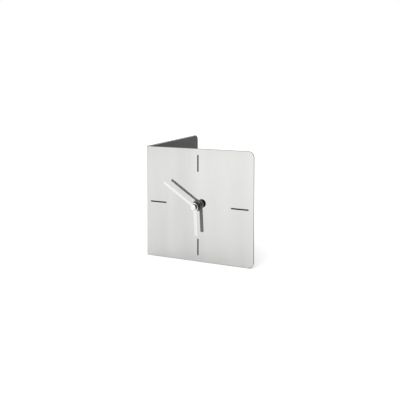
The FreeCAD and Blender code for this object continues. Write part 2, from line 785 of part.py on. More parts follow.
def quartz_crystal():
    radius, length = CRYSTAL_SIZE
    start = Vector(CRYSTAL[0], BOARD_SIDES[1] + radius, CRYSTAL[1])
    return Part.makeCylinder(radius, length, start, Vector(1, 0, 0))


def positive_contact():
    """Plate behind the battery's nub, with a strip up to the board."""
    back, line = BOARD_SIDES[1], CONTACT_LINE
    near = line - STRIP
    plate = block(near, line, *CONTACT_PLATE)
    riser = block(near, line, back, back + CONTACT_RISER, CONTACT_PLATE[3], CONTACT_FOOT[1])
    foot = block(POSITIVE_FOOT, line, back, back + STRIP, *CONTACT_FOOT)
    return join([plate, riser, foot])


def negative_contact():
    """Plate with a bowed leaf towards the battery, and a strip up to the board."""
    back, line = BOARD_SIDES[1], -CONTACT_LINE
    near = line + STRIP
    plate = block(line, near, *CONTACT_PLATE)
    riser = block(line, near, back, back + CONTACT_RISER, CONTACT_PLATE[3], CONTACT_FOOT[1])
    foot = block(line, NEGATIVE_FOOT, back, back + STRIP, *CONTACT_FOOT)
    far, close, half = LEAF
    apex = CELL_ENDS[0] - LEAF_GAP
    corners = [Vector(near, CELL_Y + y, 0) for y in (-far, far, close, -close)]
    pieces = [
        Part.Arc(corners[0], Vector(apex, CELL_Y, 0), corners[1]),
        Part.LineSegment(corners[1], corners[2]),
        Part.Arc(corners[2], Vector(apex - STRIP, CELL_Y, 0), corners[3]),
        Part.LineSegment(corners[3], corners[0]),
    ]
    wire = Part.Wire([piece.toShape() for piece in pieces])
    leaf = Part.Face(wire).extrude(Vector(0, 0, 2.0 * half))
    leaf.translate(Vector(0, 0, CELL_Z - half))
    return join([plate, riser, foot, leaf])


def along_cell(radius, x0, x1):
    return Part.makeCylinder(radius, x1 - x0, Vector(x0, CELL_Y, CELL_Z), Vector(1, 0, 0))


def battery():
    """AA cell: a can with a raised positive nub and a shallow ring at the negative end."""
    can = along_cell(CELL_RADIUS, CELL_ENDS[0], CELL_ENDS[1])
    rims = [edge for edge in can.Edges if isinstance(edge.Curve, Part.Circle)]
    can = can.makeFillet(CELL_EDGE, rims)
    inner, outer, depth = CELL_GROOVE
    groove = along_cell(outer, CELL_ENDS[0], CELL_ENDS[0] + depth)
    groove = groove.cut(along_cell(inner, CELL_ENDS[0], CELL_ENDS[0] + depth))
    nub = along_cell(NUB[0], CELL_ENDS[1], CELL_ENDS[1] + NUB[1])
    return join([can.cut(groove), nub])


def battery_sleeve():
    x0, x1 = CELL_ENDS[0] + SLEEVE_INSET, CELL_ENDS[1] - SLEEVE_INSET
    return along_cell(CELL_RADIUS + SLEEVE, x0, x1).cut(along_cell(CELL_RADIUS, x0, x1))


SUB_PARTS = (
    folded_sheet,
    inner_liner,
    rubber_gasket,
    flat_washer,
    hex_nut,
    threaded_bushing,
    front_housing,
    middle_plate,
    rear_cover,
    hour_hand,
    hour_boss,
    hour_wheel,
    minute_hand,
    minute_boss,
    hub_cap,
    minute_tube,
    minute_wheel,
    setting_knob,
    centre_wheel,
    clutch_spring,
    third_wheel,
    second_wheel,
    fifth_wheel,
    rotor_pinion,
    rotor_magnet,
    stator,
    coil_core,
    coil_bobbin,
    coil_winding,
    circuit_board,
    chip,
    quartz_crystal,
    positive_contact,
    negative_contact,
    battery,
    battery_sleeve,
)


def main():
    os.makedirs("parts", exist_ok=True)
    for make in SUB_PARTS:
        shape = place(make())
        state = "ok" if shape.isValid() and len(shape.Solids) == 1 else "CHECK"
        print(make.__name__, state, len(shape.Solids), round(shape.Volume, 2))
        shape.exportStep("parts/" + make.__name__ + ".step")


main()
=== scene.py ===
import math

import bmesh
import bpy
from mathutils import Matrix, Vector


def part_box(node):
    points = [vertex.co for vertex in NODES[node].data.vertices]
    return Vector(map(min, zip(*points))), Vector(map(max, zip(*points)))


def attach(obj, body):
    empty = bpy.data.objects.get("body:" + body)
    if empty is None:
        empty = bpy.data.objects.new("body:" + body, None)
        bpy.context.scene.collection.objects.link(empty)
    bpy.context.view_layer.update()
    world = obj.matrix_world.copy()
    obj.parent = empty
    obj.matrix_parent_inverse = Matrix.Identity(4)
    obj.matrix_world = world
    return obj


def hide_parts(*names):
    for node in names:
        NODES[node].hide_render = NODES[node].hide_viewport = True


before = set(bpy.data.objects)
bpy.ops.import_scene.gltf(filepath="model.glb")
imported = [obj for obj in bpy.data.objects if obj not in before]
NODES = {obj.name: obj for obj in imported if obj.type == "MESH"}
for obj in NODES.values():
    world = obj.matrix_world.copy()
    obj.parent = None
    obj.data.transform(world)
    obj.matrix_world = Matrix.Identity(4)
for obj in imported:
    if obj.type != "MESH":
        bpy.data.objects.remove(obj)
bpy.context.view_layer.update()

MM = 0.001
WELD = 1e-7  # points nearer than this are one point
SCENE = bpy.context.scene

# ---- places and sizes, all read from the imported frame

SHEET_LOW, SHEET_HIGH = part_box("folded_sheet")
LINER_LOW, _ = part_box("inner_liner")
CAP_LOW, CAP_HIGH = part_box("hub_cap")
HUB_X = (CAP_LOW.x + CAP_HIGH.x) / 2
HUB_Z = (CAP_LOW.z + CAP_HIGH.z) / 2
DIAL_Y = SHEET_LOW.y  # front of the dial
DIAL = SHEET_HIGH.z - SHEET_LOW.z  # height of the dial
SHEET = LINER_LOW.y - SHEET_LOW.y  # thickness of the sheet
DIAL_CENTRE = Vector((HUB_X, DIAL_Y, HUB_Z))


def behind(node):
    """Front and back of a node as distances behind the dial's front."""
    low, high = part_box(node)
    return low.y - DIAL_Y, high.y - DIAL_Y


def radius(node):
    low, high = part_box(node)
    return (high.x - low.x) / 2


# ---- camera

CAMERA_PLACE = Vector((1.9407, -4.453, 1.0923))  # from the dial's centre, in dial heights
CAMERA_YAW = math.radians(23.333)
CAMERA_PITCH = math.radians(3.52)
CAMERA_LENS = 50.495
CAMERA_SHIFT = -0.2125


def make_camera():
    data = bpy.data.cameras.new("camera")
    data.lens = CAMERA_LENS
    data.sensor_width = 36.0
    data.shift_y = CAMERA_SHIFT
    data.clip_start = 0.01
    camera = bpy.data.objects.new("camera", data)
    SCENE.collection.objects.link(camera)
    camera.location = DIAL_CENTRE + CAMERA_PLACE * DIAL
    camera.rotation_euler = (math.pi / 2 - CAMERA_PITCH, 0.0, CAMERA_YAW)
    SCENE.camera = camera


# ---- material kit


class Nodes:
    """A material's node tree, with short calls for the nodes used here."""

    def __init__(self, name):
        self.material = bpy.data.materials.new(name)
        self.material.use_nodes = True
        self.tree = self.material.node_tree
        self.shader = self.tree.nodes["Principled BSDF"]

    def add(self, kind, **values):
        node = self.tree.nodes.new(kind)
        for key, value in values.items():
            if key in node.inputs.keys():
                node.inputs[key].default_value = value
            else:
                setattr(node, key, value)
        return node

    def link(self, source, target):
        self.tree.links.new(source, target)

    def set(self, **values):
        for key, value in values.items():
            self.shader.inputs[key.replace("_", " ")].default_value = value

    def place(self, scale=(1.0, 1.0, 1.0)):
        coord = self.add("ShaderNodeTexCoord")
        mapping = self.add("ShaderNodeMapping")
        mapping.inputs["Scale"].default_value = scale
        self.link(coord.outputs["Object"], mapping.inputs["Vector"])
        return mapping.outputs["Vector"]

    def noise(self, scale, detail=2.0, stretch=(1.0, 1.0, 1.0), roughness=0.5):
        node = self.add("ShaderNodeTexNoise", Scale=scale, Detail=detail, Roughness=roughness)
        self.link(self.place(stretch), node.inputs["Vector"])
        return node.outputs["Fac"]

    def ramp(self, value, low, high, start=0.3, end=0.7):
        """Maps a value between two positions to two colours or greys."""
        node = self.add("ShaderNodeValToRGB")
        first, last = node.color_ramp.elements
        first.position, last.position = start, end
        first.color = colour(low)
        last.color = colour(high)
        self.link(value, node.inputs["Fac"])
        return node.outputs["Color"]

    def range(self, value, low, high, start=0.3, end=0.7):
        node = self.add("ShaderNodeMapRange")
        node.inputs["From Min"].default_value = start
        node.inputs["From Max"].default_value = end
        node.inputs["To Min"].default_value = low
        node.inputs["To Max"].default_value = high
        self.link(value, node.inputs["Value"])
        return node.outputs["Result"]

    def bump(self, height, distance, strength=1.0, below=None):
        node = self.add("ShaderNodeBump", Strength=strength, Distance=distance)
        self.link(height, node.inputs["Height"])
        if below is not None:
            self.link(below, node.inputs["Normal"])
        return node.outputs["Normal"]


def colour(value):
    if isinstance(value, (int, float)):
        return (value, value, value, 1.0)
    return (*value, 1.0)


WAVE_HEIGHT = 0.00004
LINE_HEIGHT = 0.0000002
GRAIN_HEIGHT = 0.000004
WIRE_HEIGHT = 0.00003
COPPER_BAND = 0.27  # share of the cell's length


def mirror_steel(name, tone, haze=(0.015, 0.04), wave=1.0, band=0.015):
    """Polished sheet: nearly a mirror, with soft upright bands of tone painted in as streaks of
    reflection, faint waves and handling haze.
    """
    m = Nodes(name)
    m.set(Metallic=1.0)
    # The upright bands in the base colour are painted reflection: lighter and darker streaks that
    # stand in for reflected surroundings.
    painted_streaks = m.noise(30.0, 3.0, (1.0, 1.0, 0.12))
    smear = m.noise(55.0, 4.0, (1.0, 1.0, 0.25))
    dark = tuple(c * (1.0 - band) for c in tone)
    light = tuple(min(1.0, c * (1.0 + band)) for c in tone)
    m.link(m.ramp(painted_streaks, dark, light), m.shader.inputs["Base Color"])
    m.link(m.range(smear, haze[0], haze[1]), m.shader.inputs["Roughness"])
    waves = m.bump(m.noise(9.0, 1.0), WAVE_HEIGHT * wave)
    lines = m.bump(m.noise(900.0, 2.0, (1.0, 1.0, 0.02)), LINE_HEIGHT, below=waves)
    m.link(lines, m.shader.inputs["Normal"])
    return m.material


def satin_metal(name, tone, rough, grain=(1.0, 1.0, 12.0)):
    """Brushed or machined metal with a directional grain."""
    m = Nodes(name)
    m.set(Metallic=1.0)
    grain_noise = m.noise(1400.0, 3.0, grain)
    patch = m.noise(120.0, 3.0)
    dark = tuple(c * 0.88 for c in tone)
    m.link(m.ramp(grain_noise, dark, tone), m.shader.inputs["Base Color"])
    m.link(m.range(patch, rough * 0.85, rough * 1.2), m.shader.inputs["Roughness"])
    m.link(m.bump(grain_noise, GRAIN_HEIGHT), m.shader.inputs["Normal"])
    return m.material


def paint(name, tone, rough, grain=2500.0, depth=0.000008, speck=0.12, shine=0.5):
    """Painted, blackened or coated surface with fine orange peel."""
    m = Nodes(name)
    m.set(Specular_IOR_Level=shine)
    fine = m.noise(grain, 3.0)
    patch = m.noise(grain / 20.0, 4.0)
    light = tuple(min(1.0, c * (1.0 + speck) + 0.002) for c in tone)
    m.link(m.ramp(patch, tone, light), m.shader.inputs["Base Color"])
    m.link(m.range(fine, rough * 0.85, rough * 1.15), m.shader.inputs["Roughness"])
    m.link(m.bump(fine, depth), m.shader.inputs["Normal"])
    return m.material


def moulded(name, tone, rough=0.5, depth=0.00002):
    """Moulded plastic: a spark-eroded texture over slow changes of gloss."""
    m = Nodes(name)
    cells = m.add("ShaderNodeTexVoronoi", Scale=2600.0)
    m.link(m.place(), cells.inputs["Vector"])
    flow = m.noise(60.0, 3.0)
    light = tuple(min(1.0, c * 1.25 + 0.004) for c in tone)
    m.link(m.ramp(flow, tone, light), m.shader.inputs["Base Color"])
    m.link(m.range(m.noise(400.0, 2.0), rough * 0.9, rough * 1.15), m.shader.inputs["Roughness"])
    m.link(m.bump(cells.outputs["Distance"], depth), m.shader.inputs["Normal"])
    return m.material


def wound_wire(name, tone):
    """Turns of enamelled wire, side by side across the coil."""
    m = Nodes(name)
    m.set(Metallic=0.9, Coat_Weight=0.4)
    wave = m.add("ShaderNodeTexWave", Scale=5200.0, Distortion=0.4)
    wave.bands_direction = "Z"
    m.link(m.place(), wave.inputs["Vector"])
    gap = tuple(c * 0.35 for c in tone)
    m.link(m.ramp(wave.outputs["Fac"], gap, tone, 0.2, 0.8), m.shader.inputs["Base Color"])
    m.set(Roughness=0.32)
    m.link(m.bump(wave.outputs["Fac"], WIRE_HEIGHT), m.shader.inputs["Normal"])
    return m.material


def circuit_green(name):
    """Solder mask over faint copper tracks."""
    m = Nodes(name)
    tracks = m.add("ShaderNodeTexBrick", Scale=300.0)
    tracks.inputs["Color1"].default_value = (0.012, 0.10, 0.04, 1.0)
    tracks.inputs["Color2"].default_value = (0.014, 0.13, 0.05, 1.0)
    tracks.inputs["Mortar"].default_value = (0.03, 0.22, 0.09, 1.0)
    m.link(m.place(), tracks.inputs["Vector"])
    m.link(tracks.outputs["Color"], m.shader.inputs["Base Color"])
    m.link(m.range(m.noise(500.0), 0.25, 0.4), m.shader.inputs["Roughness"])
    return m.material


def cell_print(name, low, high):
    """Battery sleeve: a dark body and a copper-coloured band at the positive end."""
    m = Nodes(name)
    coord = m.add("ShaderNodeTexCoord")
    split = m.add("ShaderNodeSeparateXYZ")
    m.link(coord.outputs["Object"], split.inputs["Vector"])
    length = high.x - low.x
    edge = high.x - length * COPPER_BAND
    band = m.range(split.outputs["X"], 0.0, 1.0, edge, edge + length * 0.004)
    grain = m.noise(700.0, 3.0, (0.05, 1.0, 1.0))
    dark = m.ramp(grain, (0.012, 0.013, 0.016), (0.02, 0.021, 0.026))
    copper = m.ramp(grain, (0.42, 0.19, 0.08), (0.52, 0.26, 0.12))
    mix = m.add("ShaderNodeMix", data_type="RGBA")
    m.link(band, mix.inputs["Factor"])
    m.link(dark, mix.inputs["A"])
    m.link(copper, mix.inputs["B"])
    m.link(mix.outputs["Result"], m.shader.inputs["Base Color"])
    m.link(m.range(band, 0.0, 0.85, 0.0, 1.0), m.shader.inputs["Metallic"])
    m.link(m.range(grain, 0.24, 0.34), m.shader.inputs["Roughness"])
    m.set(Coat_Weight=0.5)
    return m.material


STEEL_TONE = (0.53, 0.527, 0.523)
HAND_TONE = (0.63, 0.63, 0.625)
CAP_TONE = (0.65, 0.65, 0.645)
LOOKS = {}


def make_materials():
    LOOKS.update(
        # band=0.06 makes the painted reflection streaks strongest on the dial sheet.
        polished_steel=mirror_steel("polished_steel", STEEL_TONE, band=0.06),
        # Near-black rims and slot walls of the dial sheet: painted shade along its edges.
        cut_edge=satin_metal("cut_edge", (0.06, 0.06, 0.058), 0.3),
        hand_front=mirror_steel("hand_front", HAND_TONE, (0.05, 0.09), 0.2),
        hand_back=paint("hand_back", (0.55, 0.54, 0.515), 0.5),
        cap_end=mirror_steel("cap_end", CAP_TONE, (0.04, 0.08), 0.2),
        # The liner's near-black tone is painted shade for the flange's shaded inner side, on top of
        # a dark liner.
        dark_liner=paint("dark_liner", (0.036, 0.0355, 0.034), 0.75, 1800.0, 0.00003, 0.2),
        black_rubber=paint("black_rubber", (0.02, 0.02, 0.02), 0.8, 900.0, 0.00003),
        plain_steel=satin_metal("plain_steel", (0.5, 0.5, 0.49), 0.3),
        dull_steel=satin_metal("dull_steel", (0.22, 0.22, 0.215), 0.35),
        # Nut metal: grey instead of black brass, painted sheen standing in for the nut's
        # highlights.
        worn_brass=satin_metal("worn_brass", (0.15, 0.148, 0.14), 0.35),
        black_brass=paint("black_brass", (0.01, 0.01, 0.01), 0.35, 1500.0, 0.000006, shine=0.25),
        # Black of the cap's sides and bore: painted shade for the dark side walls beside the bright
        # end.
        black_cap=paint("black_cap", (0.01, 0.01, 0.011), 0.3, 1500.0, 0.000004, shine=0.2),
        black_plastic=moulded("black_plastic", (0.016, 0.016, 0.017)),
        white_plastic=moulded("white_plastic", (0.78, 0.77, 0.72), 0.42, 0.000008),
        brass=satin_metal("brass", (0.78, 0.57, 0.26), 0.28, (12.0, 1.0, 1.0)),
        spring_brass=satin_metal("spring_brass", (0.74, 0.55, 0.28), 0.3),
        magnet=satin_metal("magnet", (0.11, 0.11, 0.115), 0.5),
        iron=satin_metal("iron", (0.36, 0.36, 0.37), 0.45),
        enamelled_copper=wound_wire("enamelled_copper", (0.72, 0.26, 0.09)),
        board=circuit_green("board"),
        resin=paint("resin", (0.01, 0.01, 0.01), 0.18, 600.0, 0.00001),
        nickel=satin_metal("nickel", (0.72, 0.7, 0.66), 0.22),
        cell_can=satin_metal("cell_can", (0.66, 0.66, 0.64), 0.25, (1.0, 12.0, 12.0)),
        cell_sleeve=cell_print("cell_sleeve", *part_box("battery_sleeve")),
    )


# ---- mesh kit


def new_piece(name, mesh, looks, body, nodes):
    """Puts a finished mesh on its body, in place of CAD nodes, with its materials."""
    piece = bpy.data.objects.new(name, mesh)
    SCENE.collection.objects.link(piece)
    for look in looks:
        mesh.materials.append(LOOKS[look])
    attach(piece, body)
    if nodes:
        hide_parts(*nodes)
    return piece


def arc(x, y, size, start, end, steps):
    """Points of an arc, angles in degrees anticlockwise from +X."""
    points = []
    for k in range(steps + 1):
        angle = math.radians(start + (end - start) * k / steps)
        points.append((x + size * math.cos(angle), y + size * math.sin(angle)))
    return points


def rounded(points, sizes, steps=4):
    """Replaces each corner of a closed outline by an arc of its own size, if it has one."""
    result = []
    count = len(points)
    for k in range(count):
        size = sizes[k]
        here = Vector(points[k])
        if size <= 0:
            result.append(tuple(here))
            continue
        back = (Vector(points[k - 1]) - here).normalized()
        ahead = (Vector(points[(k + 1) % count]) - here).normalized()
        half = math.acos(max(-1.0, min(1.0, back.dot(ahead)))) / 2.0
        reach = size / math.tan(half)
        middle = here + (back + ahead).normalized() * (size / math.sin(half))
        first = here + back * reach - middle
        last = here + ahead * reach - middle
        sweep = math.atan2(first.x * last.y - first.y * last.x, first.dot(last))
        for j in range(steps + 1):
            turn = Matrix.Rotation(sweep * j / steps, 2)
            result.append(tuple(middle + turn @ first))
    return result


def smooth(mesh, angle):
    """Shades smoothly across edges flatter than an angle, with large faces kept flat."""
    around = [[] for _ in mesh.vertices]
    for polygon in mesh.polygons:
        polygon.use_smooth = True
        for index in polygon.vertices:
            around[index].append((polygon.normal.copy(), polygon.area))
    limit = math.cos(math.radians(angle))
    normals = []
    for polygon in mesh.polygons:
        own = polygon.normal
        for index in polygon.vertices:
            total = Vector((0.0, 0.0, 0.0))
            for normal, area in around[index]:
                if normal.dot(own) > limit:
                    total += normal * area
            normals.append(total.normalized() if total.length > 0 else own.copy())
    mesh.normals_split_custom_set(normals)


def lathe(name, profile, at, steps=96):
    """Turns a closed (radius, place) outline about the Y axis through a point."""
    mesh = bpy.data.meshes.new(name)
    count = len(profile)
    vertices, faces, poles = [], [], {}
    index = []
    for k, (r, h) in enumerate(profile):
        ring = []
        for j in range(steps):
            if r < WELD:
                if k not in poles:
                    poles[k] = len(vertices)
                    vertices.append(spin(at, 0.0, h, 0.0))
                ring.append(poles[k])
                continue
            ring.append(len(vertices))
            vertices.append(spin(at, r, h, 2 * math.pi * j / steps))
        index.append(ring)
    for k in range(count):
        a, b = index[k], index[(k + 1) % count]
        for j in range(steps):
            n = (j + 1) % steps
            corners = []
            for v in (a[j], b[j], b[n], a[n]):
                if v not in corners:
                    corners.append(v)
            if len(corners) > 2:
                faces.append(corners)
    mesh.from_pydata(vertices, [], faces)
    tidy(mesh)
    return mesh


def spin(at, r, h, angle):
    return (at[0] + r * math.cos(angle), at[1] + h, at[2] + r * math.sin(angle))


def tidy(mesh):
    """Welds double points and turns all faces outwards."""
    work = bmesh.new()
    work.from_mesh(mesh)
    bmesh.ops.remove_doubles(work, verts=work.verts, dist=WELD)
    bmesh.ops.recalc_face_normals(work, faces=work.faces)
    work.to_mesh(mesh)
    work.free()


def shifted(loop, distance):
    """A closed loop moved inwards by a distance, or outwards if it is negative."""
    ahead = loop[1:] + loop[:1]
    area = sum(x * v - u * z for (x, z), (u, v) in zip(loop, ahead))
    result = []
    for k, point in enumerate(loop):
        here = Vector(point)
        before = (here - Vector(loop[k - 1])).normalized()
        after = (Vector(ahead[k]) - here).normalized()
        left = Vector((-before.y - after.y, before.x + after.x))
        reach = math.copysign(distance, distance * area) / (1.0 + before.dot(after))
        result.append(tuple(here + left * reach))
    return result


def plate(loops, thickness, sizes, steps=3):
    """Flat plate in (s, z) with depth 0 to thickness, from an outline and its holes.

    Each loop has its own rounding at the front and the back.
    """
    work = bmesh.new()
    caps = ([], [])
    for index, (loop, size) in enumerate(zip(loops, sizes)):
        inward = 1.0 if index == 0 else -1.0
        profile = []
        for k in range(steps + 1):
            angle = math.pi / 2 * k / steps
            profile.append((size * (1.0 - math.sin(angle)), size * (1.0 - math.cos(angle))))
        profile += [(offset, thickness - depth) for offset, depth in reversed(profile)]
        rings = []
        for offset, depth in profile:
            flat = shifted(loop, inward * offset)
            rings.append([work.verts.new((s, depth, z)) for s, z in flat])
        for first, second in zip(rings, rings[1:]):
            for k in range(len(loop)):
                n = (k + 1) % len(loop)
                work.faces.new((first[k], second[k], second[n], first[n]))
        for cap, ring in zip(caps, (rings[0], rings[-1])):
            for k, corner in enumerate(ring):
                cap.append(work.edges.get((corner, ring[(k + 1) % len(ring)])))
    for cap in caps:
        bmesh.ops.triangle_fill(work, edges=cap, use_beauty=True, use_dissolve=False)
    bmesh.ops.recalc_face_normals(work, faces=work.faces)
    return work


# ---- folded sheet

FOLD = 3.0 * MM  # outside radius of the fold
CORNER = 8.0 * MM
SLOT_EDGE = 0.16 * MM  # rounding round the slots and the hole
OUTER_EDGE = 0.36 * MM  # rounding of the sheet's outline
FOLD_CUTS = 28
HOLE_SHARE = 0.565  # the hub's hole against the washer
SLOT_MARGIN = 2.0 * MM
OUTLINE_MARGIN = 2.5 * MM
HUB_SHARE = 0.1  # the hub's hole is inside this share of the dial
FLAT = 0.98  # a face whose normal is nearer the sheet's than this is its skin


def slot_sizes():
    """Inner and outer reach of each hour slot, measured on the CAD dial's front."""
    sheet = NODES["folded_sheet"].data
    reach = {}
    for vertex in sheet.vertices:
        x, y, z = vertex.co
        if abs(y - DIAL_Y) > 1e-5:
            continue
        x, z = x - HUB_X, z - HUB_Z
        if max(abs(x), abs(z)) > DIAL / 2 - SLOT_MARGIN or math.hypot(x, z) < DIAL * HUB_SHARE:
            continue
        side = ("right" if x > 0 else "left") if abs(x) > abs(z) else ("top" if z > 0 else "low")
        along, across = max(abs(x), abs(z)), min(abs(x), abs(z))
        if across > SLOT_MARGIN:
            continue
        near, far, wide = reach.get(side, (1.0, 0.0, 0.0))
        reach[side] = (min(near, along), max(far, along), max(wide, across))
    return reach


def slot_loop(side, near, far, half):
    inner, outer = near + half, far - half
    loop = arc(outer, 0.0, half, -90, 90, 8) + arc(inner, 0.0, half, 90, 270, 8)
    turn = {"right": 0, "top": 90, "left": 180, "low": 270}[side]
    cosine, sine = round(math.cos(math.radians(turn))), round(math.sin(math.radians(turn)))
    return [(x * cosine - z * sine, x * sine + z * cosine) for x, z in loop]


def bent(s, depth, z, bend_x, bend_length, out):
    """Point and directions of the bent sheet for a point of the flat one."""
    if s >= 0:
        turn, rest = 0.0, s
    elif s > -bend_length:
        turn, rest = -s / bend_length * math.pi / 2, 0.0
    else:
        turn, rest = math.pi / 2, s + bend_length
    inward = Vector((math.sin(turn), math.cos(turn), 0.0))
    tangent = Vector((math.cos(turn), -math.sin(turn), 0.0))
    middle = Vector((bend_x, DIAL_Y + FOLD, z))
    point = middle - inward * (FOLD - depth) + tangent * rest
    normal = tangent * out.x + inward * out.y + Vector((0.0, 0.0, out.z))
    return point, normal


def sheet_mesh():
    bend_x = SHEET_LOW.x + FOLD
    bend_length = math.pi / 2 * (FOLD - SHEET / 2)
    right = SHEET_HIGH.x - bend_x
    far = -bend_length - (SHEET_HIGH.y - DIAL_Y - FOLD)
    low, high = SHEET_LOW.z, SHEET_HIGH.z
    outline = rounded([(far, low), (right, low), (right, high), (far, high)], [CORNER] * 4, 16)
    hub = (HUB_X - bend_x, HUB_Z)
    loops = [outline, arc(hub[0], hub[1], radius("flat_washer") * HOLE_SHARE, 0, 360, 64)[:-1]]
    for side, (near, reach, half) in slot_sizes().items():
        loops.append([(x + hub[0], z + hub[1]) for x, z in slot_loop(side, near, reach, half)])

    def rounding(s, z):
        outside = max(abs(s - hub[0]), abs(z - hub[1])) > DIAL / 2 - OUTLINE_MARGIN
        return OUTER_EDGE if outside else SLOT_EDGE

    work = plate(loops, SHEET, [OUTER_EDGE] + [SLOT_EDGE] * (len(loops) - 1))
    for k in range(FOLD_CUTS + 1):
        cut = -bend_length * k / FOLD_CUTS
        bmesh.ops.bisect_plane(
            work, geom=list(work.verts) + list(work.edges) + list(work.faces), dist=1e-8,
            plane_co=(cut, 0, 0), plane_no=(1, 0, 0),
        )
    work.faces.ensure_lookup_table()
    work.normal_update()
    side = {}
    for vertex in work.verts:
        total = Vector((0.0, 0.0))
        for face in vertex.link_faces:
            if abs(face.normal.y) < FLAT:
                total += Vector((face.normal.x, face.normal.z)) * face.calc_area()
        side[vertex.index] = total.normalized() if total.length > 0 else total
    normals, kinds = [], []
    for face in work.faces:
        skin = abs(face.normal.y) > FLAT
        # Rims and slot walls take material 1, the near-black painted shade; the skins take the
        # polished steel.
        kinds.append(0 if skin else 1)
        for loop in face.loops:
            vertex = loop.vert
            depth = vertex.co.y
            if skin:
                flat = Vector((0.0, math.copysign(1.0, face.normal.y), 0.0))
            else:
                size = rounding(vertex.co.x, vertex.co.z)
                front = max(0.0, (size - depth) / size)
                back = max(0.0, (depth - SHEET + size) / size)
                lean = min(1.0, back) - min(1.0, front)
                level = math.sqrt(max(0.0, 1.0 - lean * lean))
                out = side[vertex.index]
                flat = Vector((out.x * level, lean, out.y * level))
            _, normal = bent(vertex.co.x, depth, 0.0, bend_x, bend_length, flat)
            normals.append(normal.normalized())
    for vertex in work.verts:
        vertex.co, _ = bent(
            vertex.co.x, vertex.co.y, vertex.co.z, bend_x, bend_length, Vector((0, 0, 0))
        )
    mesh = bpy.data.meshes.new("dial_sheet")
    work.to_mesh(mesh)
    work.free()
    for polygon, kind in zip(mesh.polygons, kinds):
        polygon.use_smooth = True
        polygon.material_index = kind
    mesh.normals_split_custom_set(normals)
    return mesh


def make_sheet():
    new_piece(
        "dial_sheet", sheet_mesh(), ["polished_steel", "cut_edge"],
        "clock_body", ["folded_sheet"],
    )


# ---- stack on the hands' axis


def axis_mesh(name, outline, sizes, steps=96):
    """Turned piece on the hands' axis from (radius, distance behind the dial) corners."""
    return lathe(name, rounded(outline, sizes), DIAL_CENTRE, steps)


def ring_outline(node, inner):
    front, back = behind(node)
    outer = radius(node)
    return [(inner, front), (outer, front), (outer, back), (inner, back)]


BUSH = 4.0 * MM
THREAD_PITCH = 0.75 * MM
THREAD_DEPTH = 0.28 * MM
THREAD_END = 2.2 * MM  # behind the dial's front
THREAD_FADE = 0.6 * MM
NUT_BEVEL = 0.25 * MM
CAP_CHAMFER = 0.9 * MM
CAP_BORE = 3.0 * MM  # how deep the minute tube goes in the cap
BLADE_EDGE = 0.09 * MM
TIP_SOFT = 0.25 * MM
HOUR_TUBE = 2.55 * MM
MINUTE_TUBE = 1.6 * MM
HOUR_EYE = 4.2 * MM
MINUTE_EYE = 3.6 * MM


def make_washer():
    outline = ring_outline("flat_washer", BUSH + 0.1 * MM)
    mesh = axis_mesh("washer", outline, [0.1 * MM, 0.18 * MM, 0.05 * MM, 0.05 * MM])
    smooth(mesh, 50)
    new_piece("washer", mesh, ["dull_steel"], "clock_body", ["flat_washer"])


def make_nut():
    """Hexagon with a 30 degree chamfer on both faces, and a chamfered bore."""
    front, back = behind("hex_nut")
    low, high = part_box("hex_nut")
    flat = (high.z - low.z) / 2
    start = flat * 0.97
    bore = BUSH - 0.02 * MM
    steps = 96
    vertices, faces = [], []
    for k in range(steps):
        angle = 2 * math.pi * k / steps
        sector = (angle + math.pi / 6) % (math.pi / 3) - math.pi / 6
        across = flat / math.cos(math.pi / 6 - abs(sector))
        drop = (across - start) * math.tan(math.radians(30))
        profile = [
            (bore, front + NUT_BEVEL), (bore + NUT_BEVEL, front),
            (start, front), (across, front + drop),
            (across, back - drop), (start, back),
            (bore + NUT_BEVEL, back), (bore, back - NUT_BEVEL),
        ]
        for r, h in profile:
            vertices.append(spin(DIAL_CENTRE, r, h, angle))
    ring = len(profile)
    for k in range(steps):
        n = (k + 1) % steps
        for j in range(ring):
            i = (j + 1) % ring
            faces.append((k * ring + j, k * ring + i, n * ring + i, n * ring + j))
    mesh = bpy.data.meshes.new("nut")
    mesh.from_pydata(vertices, [], faces)
    tidy(mesh)
    smooth(mesh, 20)
    # The nut's grey tone is painted sheen over black brass.
    new_piece("nut", mesh, ["worn_brass"], "clock_body", ["hex_nut"])


def make_bushing():
    """Bushing with a helical thread in front of the case and a plain, unthreaded length inside it.
    """
    front, back = behind("threaded_bushing")
    bore = HOUR_TUBE + 0.05 * MM
    end = THREAD_END
    steps, rows_per_pitch = 64, 8
    rows = int((end - front) / THREAD_PITCH * rows_per_pitch)
    vertices, faces = [], []
    for i in range(rows + 1):
        h = front + (end - front) * i / rows
        fade = min(1.0, (h - front) / THREAD_FADE, (end - h) / THREAD_FADE)
        for j in range(steps):
            angle = 2 * math.pi * j / steps
            phase = ((h - front) / THREAD_PITCH - j / steps) % 1.0
            crest = 1.0 - abs(2 * phase - 1)
            crest = min(1.0, max(0.0, crest * 1.3 - 0.1))
            size = BUSH - THREAD_DEPTH * (1.0 - crest * max(0.0, fade)) - 0.01 * MM
            vertices.append(spin(DIAL_CENTRE, size, h, angle))
    tail = [(BUSH - 0.01 * MM, end), (BUSH - 0.01 * MM, back), (bore, back), (bore, front)]
    for size, h in tail:
        for j in range(steps):
            vertices.append(spin(DIAL_CENTRE, size, h, 2 * math.pi * j / steps))
    total = rows + 1 + len(tail)
    for i in range(total):
        a, b = i * steps, ((i + 1) % total) * steps
        for j in range(steps):
            n = (j + 1) % steps
            faces.append((a + j, a + n, b + n, b + j))
    mesh = bpy.data.meshes.new("bushing")
    mesh.from_pydata(vertices, [], faces)
    tidy(mesh)
    smooth(mesh, 40)
    new_piece(
        "bushing", mesh, ["black_brass"], "clock_body", ["threaded_bushing"]
    )


